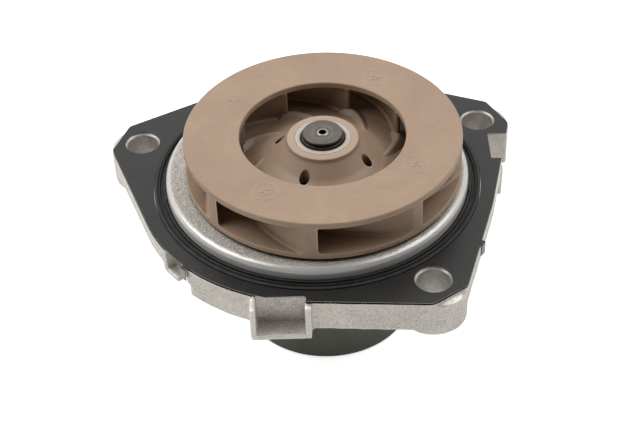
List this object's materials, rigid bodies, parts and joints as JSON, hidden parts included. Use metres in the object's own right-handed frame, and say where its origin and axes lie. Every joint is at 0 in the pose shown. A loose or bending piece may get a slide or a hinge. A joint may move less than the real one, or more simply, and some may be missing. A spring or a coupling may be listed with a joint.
{
  "type": "water pump",
  "caption": "Engine coolant pump: flanged cast housing with a moulded gasket, sealed shaft bearing, closed vaned impeller and a smooth belt pulley.",
  "frame": {"origin": "centre of the shaft's belt-side end face, on the shaft axis", "axes": "+Z along the shaft from the pulley to the impeller; +X and +Y lie in the mounting flange, with the left bolt hole on the -X side, the right one on the +X side and the lower one towards -Y; the mounting flange's bare face is the plane z = 0.0448"},
  "size_m": [0.1152, 0.1016, 0.0623],
  "materials": {
    "cast_aluminium": "as cast, fine sand-like grain, machined sealing faces",
    "coated_steel": "thin black rubber-coated sheet, semi-matt",
    "black_rubber": "moulded rubber, satin",
    "bearing_steel": "ground and polished",
    "seal_brass": "drawn sheet, bright",
    "seal_carbon": "lapped carbon graphite",
    "seal_ceramic": "lapped ceramic",
    "shaft_steel": "turned and ground, grey",
    "brown_plastic": "moulded brown glass-filled phenolic, satin",
    "bush_metal": "pale machined bush",
    "pulley_paint": "smooth black electro-coat, satin",
    "cage_nylon": "moulded nylon, natural"
  },
  "bodies": {
    "housing": {"housing_casting": "cast_aluminium", "gasket_carrier": "coated_steel", "gasket_bead": "black_rubber", "bearing_outer_ring": "bearing_steel", "bearing_seal_front": "black_rubber", "bearing_seal_rear": "black_rubber", "seal_cup": "seal_brass", "seal_spring": "bearing_steel", "seal_bellows": "black_rubber"},
    "seal_face": {"seal_holder": "bearing_steel", "seal_carbon_ring": "seal_carbon"},
    "rotor": {"shaft": "shaft_steel", "impeller_shroud": "brown_plastic", "impeller_hub": "brown_plastic", "impeller_bush": "bush_metal", "pulley": "pulley_paint", "seal_sleeve": "seal_brass", "seal_mating_cup": "black_rubber", "seal_mating_ring": "seal_ceramic", "slinger": "black_rubber"},
    "front_row": {"front_cage": "cage_nylon", "front_ball_1": "bearing_steel", "front_ball_2": "bearing_steel", "front_ball_3": "bearing_steel", "front_ball_4": "bearing_steel", "front_ball_5": "bearing_steel", "front_ball_6": "bearing_steel", "front_ball_7": "bearing_steel", "front_ball_8": "bearing_steel"},
    "rear_row": {"rear_cage": "cage_nylon", "rear_ball_1": "bearing_steel", "rear_ball_2": "bearing_steel", "rear_ball_3": "bearing_steel", "rear_ball_4": "bearing_steel", "rear_ball_5": "bearing_steel", "rear_ball_6": "bearing_steel", "rear_ball_7": "bearing_steel", "rear_ball_8": "bearing_steel"}
  },
  "joints": [
    {"name": "rotor_spin", "type": "hinge", "parent": "housing", "child": "rotor", "pos_m": [0, 0, 0.0448], "axis": [0, 0, 1], "continuous": true},
    {"name": "front_row_spin", "type": "hinge", "parent": "housing", "child": "front_row", "pos_m": [0, 0, 0.0298], "axis": [0, 0, 1], "continuous": true},
    {"name": "rear_row_spin", "type": "hinge", "parent": "housing", "child": "rear_row", "pos_m": [0, 0, 0.0163], "axis": [0, 0, 1], "continuous": true},
    {"name": "seal_face_float", "type": "slide", "parent": "housing", "child": "seal_face", "axis": [0, 0, 1], "range_m": [-0.0006, 0.0002], "deforming": ["seal_spring", "seal_bellows"]}
  ],
  "couplings": [
    {"joint": "front_row_spin", "follows": "rotor_spin", "ratio": 0.3475},
    {"joint": "rear_row_spin", "follows": "rotor_spin", "ratio": 0.3475}
  ]
}
